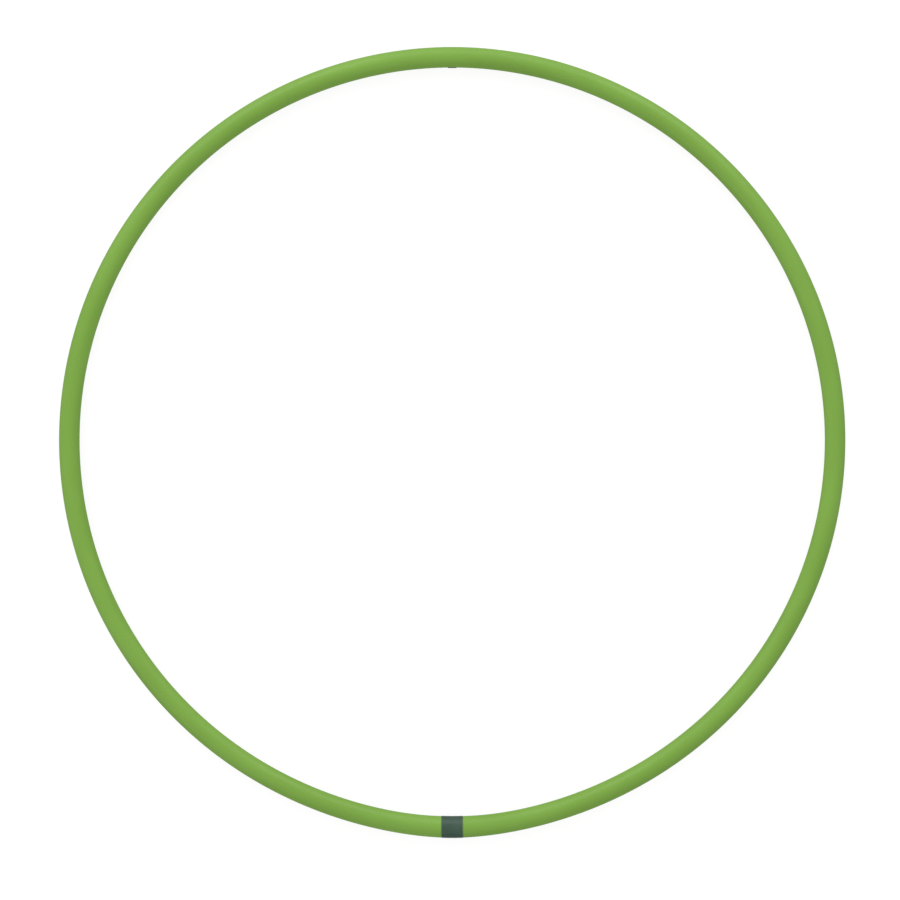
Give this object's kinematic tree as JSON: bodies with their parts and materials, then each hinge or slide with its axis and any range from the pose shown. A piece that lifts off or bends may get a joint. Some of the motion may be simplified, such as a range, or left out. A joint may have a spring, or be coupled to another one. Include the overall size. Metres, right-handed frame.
{
  "type": "rhythmic hoop",
  "caption": "Round plastic-tube hoop for rhythmic gymnastics, bent into a ring, closed on an inner dowel under a band of dark tape.",
  "frame": {"origin": "middle of the ring's bounding box in X and Y, at the height of its lowest point: the surface that the hoop lies on", "axes": "+Z is the ring's axis, up from the surface; -Y points at the taped joint, +Y at the staple opposite it"},
  "size_m": [0.75, 0.7548, 0.0215],
  "materials": {
    "tube_plastic": "satin, faint extrusion lines",
    "tape": "soft satin",
    "dowel_plastic": "plain",
    "staple_wire": "dull galvanised wire"
  },
  "bodies": {
    "root": {"hoop_tube": "tube_plastic", "joint_tape": "tape", "joint_dowel": "dowel_plastic", "balance_dowel": "dowel_plastic", "joint_staple_left": "staple_wire", "joint_staple_right": "staple_wire", "balance_staple": "staple_wire"}
  },
  "joints": []
}
